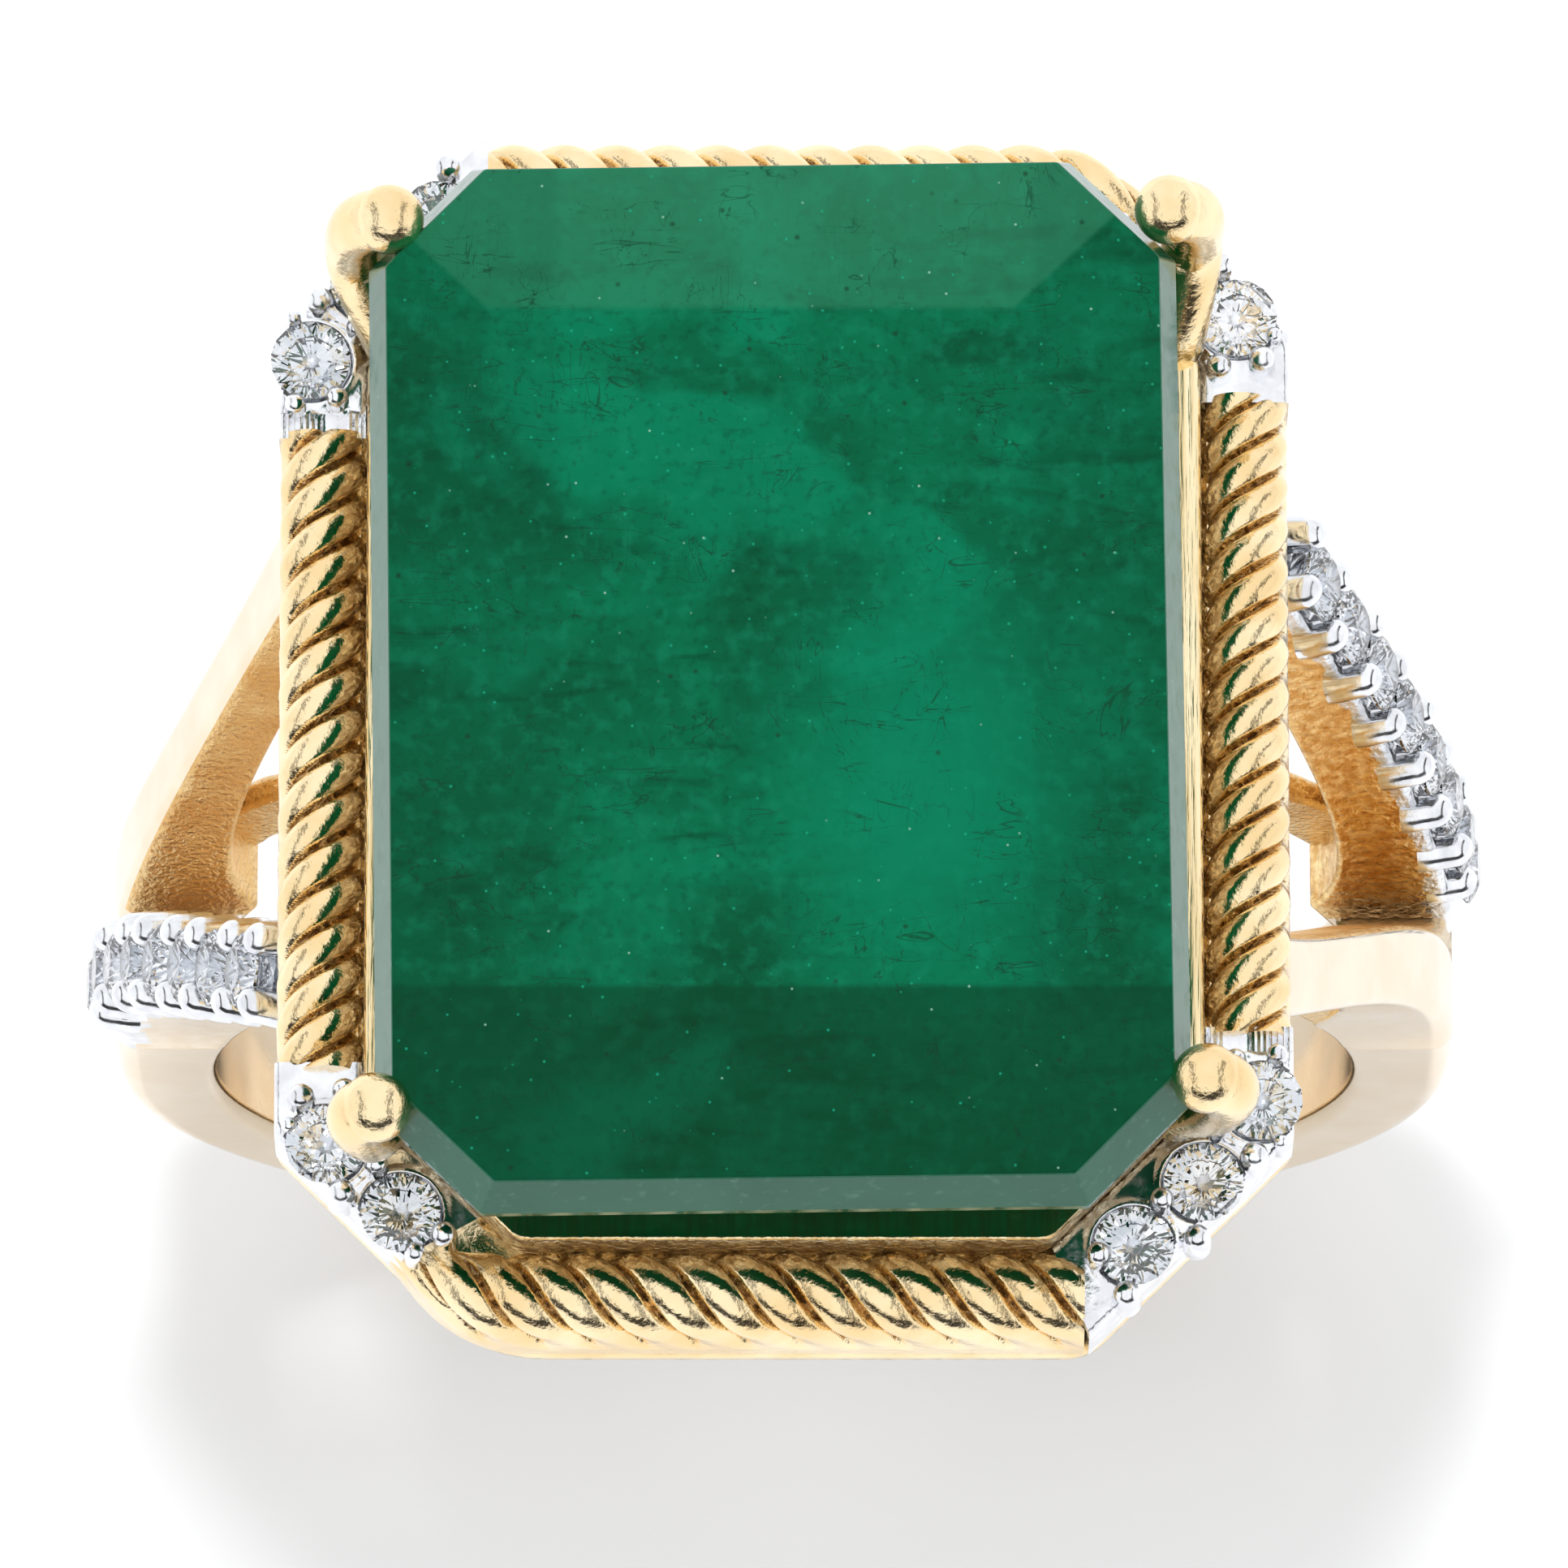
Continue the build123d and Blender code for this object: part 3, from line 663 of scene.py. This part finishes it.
def wall_rows():
    """Sections of the wall: a smooth foot, then a step in behind the ropes and the settings."""
    r, step, foot = 0.10, 0.16, 13.46
    profile = [(r, FRAME_Z0), (0.3 * r, FRAME_Z0 + 0.3 * r), (0, FRAME_Z0 + r)]
    profile += [(0, foot - 0.05), (0.02, foot), (step, foot + 0.04), (step, 14.1), (step, FRAME_Z1)]
    profile += [(BAND - r, FRAME_Z1), (BAND, FRAME_Z1 - r), (BAND, FRAME_Z0 + r), (BAND - r, FRAME_Z0)]
    return [octagon_loop(*inset(HEAD, a), z, r=WALL_ROUNDING) for a, z in profile]


build("head_wall", Shape().loops(wall_rows(), close_rows=True), [ROPE_GOLD], ["head_frame"])


def seat_shape():
    """Ledge with a rough outer wall and a brushed top that dips towards the stone."""
    seat = inset(HEAD, BAND)
    profile = [(0.0, z) for z in (SEAT_BOTTOM, SEAT_BOTTOM + 0.5, 14.5, 14.8, 15.1)]
    profile += [(0.015, SEAT_TOP - 0.04), (0.05, SEAT_TOP), (0.35, SEAT_TOP)]
    profile += [(0.8, SEAT_TOP - 0.03), (1.58, SEAT_TOP - 0.06)]
    profile += [(LEDGE, 14.7), (LEDGE, SEAT_BOTTOM)]
    rows = np.array([octagon_loop(*inset(seat, a), z) for a, z in profile])
    m = rows.shape[1]
    slots = [0 if 5 <= i <= 9 else 1 for i in range(len(profile)) for _ in range(m)]
    return Shape().loops(rows, close_rows=True, slot=slots)


build("stone_seat_ledge", seat_shape(), [LEDGE_GOLD, WALL_GOLD_PAINTED_SHADE], ["stone_seat"])


# --- ropes -------------------------------------------------------------------
def strand_reach(angle):
    """Distance from the rope's middle to its skin, for three strands laid round each other."""
    spread, strand, crease = 0.21, 0.44, 0.13
    turned = (angle + math.pi / 3) % (2 * math.pi / 3) - math.pi / 3
    reach = spread * np.cos(turned) + np.sqrt(strand**2 - (spread * np.sin(turned)) ** 2)
    return reach - crease * np.exp(-(((math.pi / 3 - np.abs(turned)) / 0.13) ** 2))


GROOVE_REACH = 0.475    # strand skin nearer the middle than this is left rough, and its darker colour is painted shade in the creases
ROPE_DROP = 0.93        # how far the skin reaches down the wall


def rope_shape(path, radii, leads, outer_side, phase):
    """Twisted rope whose strands run over the band's top and down its outer face."""
    path = np.asarray(path, float)
    lengths = np.r_[0, np.linalg.norm(np.diff(path, axis=0), axis=1)]
    turns = np.cumsum(2 * math.pi * lengths / leads)
    along = np.gradient(path, axis=0)
    along /= np.linalg.norm(along, axis=1)[:, None]
    up = np.array((0, 0, 1.0))
    over, down = 76, 22     # points over the top, and down the outer face
    drops = np.r_[np.zeros(over), np.linspace(0.03, ROPE_DROP, down)]
    angles = np.r_[np.radians(np.linspace(-100, 90, over)), math.pi / 2 + drops[over:] / ROPE_R]
    fade = np.clip((drops - 0.10) / 0.55, 0, 1)
    fade = 1 - fade * fade * (3 - 2 * fade)
    rows, slots = [], []
    for here, turn, d, size in zip(path, turns, along, radii):
        side = np.cross(d, up) * outer_side
        reach = strand_reach(angles * outer_side - turn - phase)
        r = (ROPE_R - (ROPE_R - reach) * fade) * size / ROPE_R
        lean = np.minimum(angles, math.pi / 2)
        rows.append([
            here + r_i * (math.cos(a) * up + math.sin(a) * side) - drop * up
            for a, r_i, drop in zip(lean, r, drops)
        ] + [here - up * ROPE_DROP + side * 0.2 * size, here - up * 0.25 - side * 0.2 * size])
        slots.append([int(deep) for deep in (reach < GROOVE_REACH) & (fade > 0.6)] + [0, 0])
    flat = [v for row in slots[:-1] for v in row] + [0, 0]
    return Shape().loops(rows, slot=flat)


side_x = HEAD_HX - BAND / 2
side_stops = np.linspace(SIDE_SPAN[0] - 0.1, SIDE_SPAN[1] + 0.1, 420)
side_path = [(-side_x, y, FRAME_Z1) for y in side_stops]
side_rope = rope_shape(side_path, [ROPE_R] * len(side_path), SIDE_LEAD, -1, 0.4)
for name, turned in (("rope_left", False), ("rope_right", True)):
    build(name + "_strands", side_rope, [ROPE_GOLD, GROOVE_GOLD_PAINTED_SHADE], [name], half_turn=turned)

end_y = HEAD_HY - BAND / 2


def end_rope_shape():
    """The front rope: straight along the side, with its left end drawn out round the corner."""
    corner = ((-5.66, -7.70), (-5.05, -8.25), (-4.75, -end_y), (-3.7, -end_y))
    bend = [tuple(bezier(corner, t)) for t in np.linspace(0, 1, 90)]
    straight = [(x, -end_y) for x in np.linspace(-3.7, 4.45, 340)[1:]]
    path = [(x, y, FRAME_Z1) for x, y in bend + straight]
    grown = np.clip(np.arange(len(path)) / 75, 0, 1)
    start_r = 0.30
    radii = start_r + (ROPE_R - start_r) * grown
    leads = END_LEAD * (2.4 - 1.4 * grown)
    return rope_shape(path, radii, leads, 1, 0.9)


end_rope = end_rope_shape()
for name, turned in (("rope_front", False), ("rope_back", True)):
    build(name + "_strands", end_rope, [ROPE_GOLD, GROOVE_GOLD_PAINTED_SHADE], [name], half_turn=turned)


# --- corner settings ---------------------------------------------------------
FILED_END = 4.95    # the plate is filed in fine lines short of this Y


def corner_shape(outer, inner, stones, beads):
    """Plate along the lines outer and inner round one corner, with a bowl under each stone."""
    edge, foot, step = 0.10, 13.50, 0.045
    bowl_r, bowl_depth, lip_r, lip_height, lip_width = 0.60, 0.30, 0.66, 0.05, 0.07
    turn = np.linspace(0, math.pi / 2, 5)
    profile = [(0.0, z) for z in (foot, 13.8, 14.2, 14.5)]
    profile += [(edge * (1 - math.cos(a)), SETTING_TOP - edge * (1 - math.sin(a))) for a in turn]
    top = [(edge + (BAND - 2 * edge) * k / 26, SETTING_TOP) for k in range(1, 26)]
    profile = profile + top + [(BAND - a, z) for a, z in reversed(profile)]
    stops = []
    for a, b, c, d in zip(outer, outer[1:], inner, inner[1:]):
        count = max(2, round(math.dist(a, b) / step))
        for t in np.linspace(0, 1, count, endpoint=False):
            stops.append((np.add(a, np.subtract(b, a) * t), np.add(c, np.subtract(d, c) * t)))
    stops.append((np.array(outer[-1]), np.array(inner[-1])))
    rows = []
    for out, into in stops:
        row = []
        for across, z in profile:
            x, y = out + (into - out) * across / BAND
            if z > SETTING_TOP - 0.02:
                near = min(math.dist((x, y), stone) for stone in stones)
                z -= max(0.0, bowl_depth * (1 - (near / bowl_r) ** 2))
                z += lip_height * math.exp(-((near - lip_r) / lip_width) ** 2)
                if y < FILED_END:
                    z -= 0.03 + 0.02 * math.sin(x * 70)
            row.append((x, y, z))
        rows.append(row)
    shape = Shape().loops(rows)
    for x, y, radius, tall in beads:
        shape.loops(pin((x, y, SETTING_TOP - 0.05), (0, 0, 1), radius, tall + 0.05, 0.25))
    return shape


seat_edge = inset(HEAD, BAND)
corner_out, corner_in = (
    [(hx, hy - cut), (hx - cut, hy)] for hx, hy, cut in (HEAD, seat_edge)
)
three = corner_shape(
    [(HEAD_HX, SIDE_SPAN[1]), *corner_out],
    [(seat_edge[0], SIDE_SPAN[1]), *corner_in],
    THREE_STONES,
    THREE_BEADS,
)
two = corner_shape(
    [(HEAD_HX, -SIDE_SPAN[0]), corner_out[0], (5.66, 8.11)],
    [(seat_edge[0], -SIDE_SPAN[0]), corner_in[0], (4.45, 7.44)],
    TWO_STONES,
    TWO_BEADS,
)
for name, shape, mirrored, turned in (
    ("corner_setting_front_right", three, True, False),
    ("corner_setting_back_left", three, True, True),
    ("corner_setting_back_right", two, False, False),
    ("corner_setting_front_left", two, False, True),
):
    build(name + "_plate", shape, [RHODIUM], [name], mirror_y=mirrored, half_turn=turned)


# --- small stones ------------------------------------------------------------
def brilliant(middle, outward, spin):
    """A round brilliant: table, stars, kites, halves, girdle, and a cut pavilion."""
    outward = np.array(outward, float)
    side = np.cross(outward, (0.1, 1.0, 0.3))
    side /= np.linalg.norm(side)
    other = np.cross(outward, side)

    def ring(radius, height, count, offset=0.0):
        return [
            middle + outward * height + radius * (math.cos(a) * side + math.sin(a) * other)
            for a in spin + (np.arange(count) + offset) * 2 * math.pi / count
        ]

    table = ring(0.34, 0.19, 8)
    kite = ring(0.49, 0.105, 8, 0.5)
    girdle_top = ring(STONE_R, 0.02, 16)
    girdle_low = ring(STONE_R, -0.02, 16)
    mains = ring(0.16, -0.40, 8, 0.5)
    culet = [middle - outward * 0.50]
    points = table + kite + girdle_top + girdle_low + mains + culet
    t, k, u, l, m, c = 0, 8, 16, 32, 48, 56
    faces = [tuple(range(8))]
    for i in range(8):
        j, h = (i + 1) % 8, (i - 1) % 8
        a, b, d = u + 2 * i, u + 2 * i + 1, u + (2 * i + 2) % 16
        faces += [(t + i, t + j, k + i), (t + i, k + i, a, k + h)]
        faces += [(k + i, b, a), (k + i, d, b)]
        faces += [(a, b, b + 16, a + 16), (b, d, d + 16, b + 16)]
        faces += [(l + 2 * i, l + 2 * i + 1, m + i), (l + 2 * i + 1, l + (2 * i + 2) % 16, m + i)]
        faces += [(l + 2 * i, m + i, c, m + h)]
    return points, faces


def place_stone(node, outward, lift, spin):
    """Cuts a brilliant where the CAD node stands."""
    outward = np.array(outward, float)
    middle = node_middle(node) + outward * lift
    shape = Shape()
    shape.add(*brilliant(middle, outward, spin))
    build(node + "_cut", shape, [WHITE_STONE], [node], smooth=False)


GIRDLE_LIFT = 0.15    # the girdle stands this far above the middle of a small stone's box
for corner, count in (("front_right", 3), ("back_left", 3), ("back_right", 2), ("front_left", 2)):
    for number in range(1, count + 1):
        place_stone(f"accent_{corner}_{number}", (0, 0, 1), GIRDLE_LIFT, 0.37 * number + len(corner))
for number, (middle, outward, along) in enumerate(PAVE_AXES, start=1):
    place_stone(f"pave_right_{number}", outward, GIRDLE_LIFT, 0.51 * number)
    place_stone(f"pave_left_{number}", outward * (-1, -1, 1), GIRDLE_LIFT, 0.51 * number + 0.2)


# --- big stone ---------------------------------------------------------------
def emerald_shape():
    """Step-cut stone: bevelled crown, thin girdle and three pavilion steps."""
    base = GIRDLE_Z - GIRDLE_H / 2
    levels = [(GIRDLE_Z + CROWN_H, TABLE_INSET), (base + GIRDLE_H, 0.0), (base, 0.0)]
    levels += [(base - depth, amount) for depth, amount in PAVILION]
    yaw = math.radians(EM_YAW)
    rows = []
    for z, amount in levels:
        hx, hy, cut = EM_HX - amount, EM_HY - amount, EM_CUT * (1 - amount / EM_HX)
        corners = [(hx, hy - cut), (hx - cut, hy)]
        corners += [(-x, y) for x, y in reversed(corners)]
        corners += [(-x, -y) for x, y in corners]
        rows.append([
            (x * math.cos(yaw) - y * math.sin(yaw) + EM_SHIFT, x * math.sin(yaw) + y * math.cos(yaw), z)
            for x, y in corners
        ])
    return Shape().loops(rows, slot=[1] * 16 + [0] * 26)


emerald = build("emerald_cut", emerald_shape(), [EMERALD, EMERALD_EDGE], ["emerald"],
                smooth=False)
edges = emerald.modifiers.new("polished_edges", "BEVEL")
edges.width = 0.035 * MM
edges.segments = 2
edges.limit_method = "ANGLE"


# --- claws -------------------------------------------------------------------
def claw_shape(tip_x, tip_y, out):
    """Round wire from the ledge, out past the girdle and over the stone, ending in a ball."""
    wire_r, ball_r = 0.47, 0.52
    sx, sy = math.copysign(1, tip_x), math.copysign(1, tip_y)
    foot = np.array((sx * 5.84, sy * 5.94, SEAT_TOP - 0.05))
    bulge = np.array((tip_x + sx * out, tip_y - sy * 0.05, GIRDLE_Z - 0.7))
    tip = np.array((tip_x, tip_y, 18.35))
    middle_pull = (tip - foot) / 2
    rise, curl = np.array((0, 0, 1.2)), np.array((-sx, -sy * 0.1, 0.45)) * 1.6
    spans = ((foot, rise, bulge, middle_pull), (bulge, middle_pull, tip, curl))
    path = []
    for p0, m0, p1, m1 in spans:
        for t in np.linspace(0, 1, 24, endpoint=False):
            path.append(
                p0 * (2 * t**3 - 3 * t**2 + 1) + m0 * (t**3 - 2 * t**2 + t)
                + p1 * (3 * t**2 - 2 * t**3) + m1 * (t**3 - t**2)
            )
    path = np.array(path)
    along = np.gradient(path, axis=0)
    along /= np.linalg.norm(along, axis=1)[:, None]
    rows = []
    for here, d in zip(path, along):
        side = np.cross(d, (0.2, 1, 0.1))
        side /= np.linalg.norm(side)
        other = np.cross(d, side)
        rows.append([here + wire_r * (math.cos(a) * side + math.sin(a) * other)
                     for a in np.linspace(0, 2 * math.pi, 32, endpoint=False)])
    shape = Shape().loops(rows)
    ball = [
        [tip + ball_r * np.array((math.cos(b) * math.cos(a), math.cos(b) * math.sin(a), math.sin(b)))
         for a in np.linspace(0, 2 * math.pi, 40, endpoint=False)]
        for b in np.radians(np.linspace(-89, 89, 28))
    ]
    return shape.loops(ball)


for name, claw in CLAWS.items():
    build(name + "_wire", claw_shape(*claw), [ROPE_GOLD], [name])


# --- floor, lights and camera ------------------------------------------------
def floor():
    """Plain pale table top, large enough to fill every view."""
    size, z = 3.0, -OUTER_R * MM
    mesh = bpy.data.meshes.new("floor")
    corners = [(-size, -size, z), (size, -size, z), (size, size, z), (-size, size, z)]
    mesh.from_pydata(corners, [], [(0, 1, 2, 3)])
    finish = Finish("floor_white", Roughness=0.9, Specular_IOR_Level=0.0)
    finish.colour(finish.mix(finish.noise(0.02, 2), (0.97, 0.975, 0.99), (0.98, 0.98, 0.99)))
    mesh.materials.append(finish.material)
    plane = bpy.data.objects.new("floor", mesh)
    bpy.context.scene.collection.objects.link(plane)


def world():
    """White tent: bright all round, with dark gaps that draw lines in the polished metal."""
    tent = bpy.data.worlds.new("tent")
    tent.use_nodes = True
    tree = tent.node_tree
    background = tree.nodes["Background"]
    direction = tree.nodes.new("ShaderNodeTexCoord").outputs["Generated"]
    split = tree.nodes.new("ShaderNodeSeparateXYZ")
    tree.links.new(direction, split.inputs[0])

    def band(value, low, high, start, end):
        node = tree.nodes.new("ShaderNodeMapRange")
        node.interpolation_type = "SMOOTHSTEP"
        tree.links.new(value, node.inputs[0])
        for socket, given in zip(node.inputs[1:], (low, high, start, end)):
            socket.default_value = given
        return node.outputs["Result"]

    def times(a, b):
        node = tree.nodes.new("ShaderNodeMath")
        node.operation = "MULTIPLY"
        tree.links.new(a, node.inputs[0])
        tree.links.new(b, node.inputs[1])
        return node.outputs[0]

    x, y, z = split.outputs["X"], split.outputs["Y"], split.outputs["Z"]
    def between(value, low, high, soft=0.04):
        """1 between low and high, fading to 0 over soft on each side."""
        return times(band(value, low - soft, low, 0.0, 1.0), band(value, high, high + soft, 1.0, 0.0))

    above = band(z, 0.2, 0.3, 0.0, 1.0)
    ahead = band(y, -0.55, -0.66, 0.0, 1.0)
    low_band = times(band(z, -0.02, 0.02, 0.0, 1.0), band(z, 0.40, 0.48, 1.0, 0.0))
    front_gap = times(ahead, low_band)
    side_gap = times(between(x, 0.66, 0.74), above)
    left_gap = times(between(x, -0.76, -0.70), above)
    dark = tree.nodes.new("ShaderNodeMath")
    dark.operation = "ADD"
    both = tree.nodes.new("ShaderNodeMath")
    both.operation = "MAXIMUM"
    tree.links.new(side_gap, both.inputs[0])
    tree.links.new(left_gap, both.inputs[1])
    tree.links.new(front_gap, dark.inputs[0])
    tree.links.new(both.outputs[0], dark.inputs[1])
    dark.use_clamp = True
    strength = band(dark.outputs[0], 0.0, 1.0, 1.12, 0.05)
    tree.links.new(strength, background.inputs["Strength"])
    background.inputs["Color"].default_value = (0.97, 0.985, 1.0, 1.0)
    bpy.context.scene.world = tent


def area_light(name, place, aim, size, power):
    light = bpy.data.lights.new(name, "AREA")
    light.shape = "RECTANGLE"
    light.size, light.size_y = size
    light.energy = power
    lamp = bpy.data.objects.new(name, light)
    lamp.location = place
    lamp.rotation_euler = (Vector(aim) - Vector(place)).to_track_quat("-Z", "Y").to_euler()
    lamp.visible_glossy = False
    bpy.context.scene.collection.objects.link(lamp)


def camera():
    """High in front of the ring, far away with a long lens."""
    elevation, distance, aim = math.radians(75), 276.0, Vector((0.0, -1.5, 17.4))
    data = bpy.data.cameras.new("camera")
    data.sensor_width, data.lens = 36.0, 429.0
    data.clip_start, data.clip_end = 0.01, 10.0
    eye = bpy.data.objects.new("camera", data)
    place = aim + Vector((0, -math.cos(elevation), math.sin(elevation))) * distance
    eye.location = place * MM
    eye.rotation_euler = (math.pi / 2 - elevation, 0, 0)
    bpy.context.scene.collection.objects.link(eye)
    bpy.context.scene.camera = eye


floor()
world()
area_light("key_behind", (-0.02, 0.08, 0.40), (0, 0, 0.01), (0.045, 0.045), 0.50)
camera()
bpy.context.scene.view_settings.view_transform = "Standard"
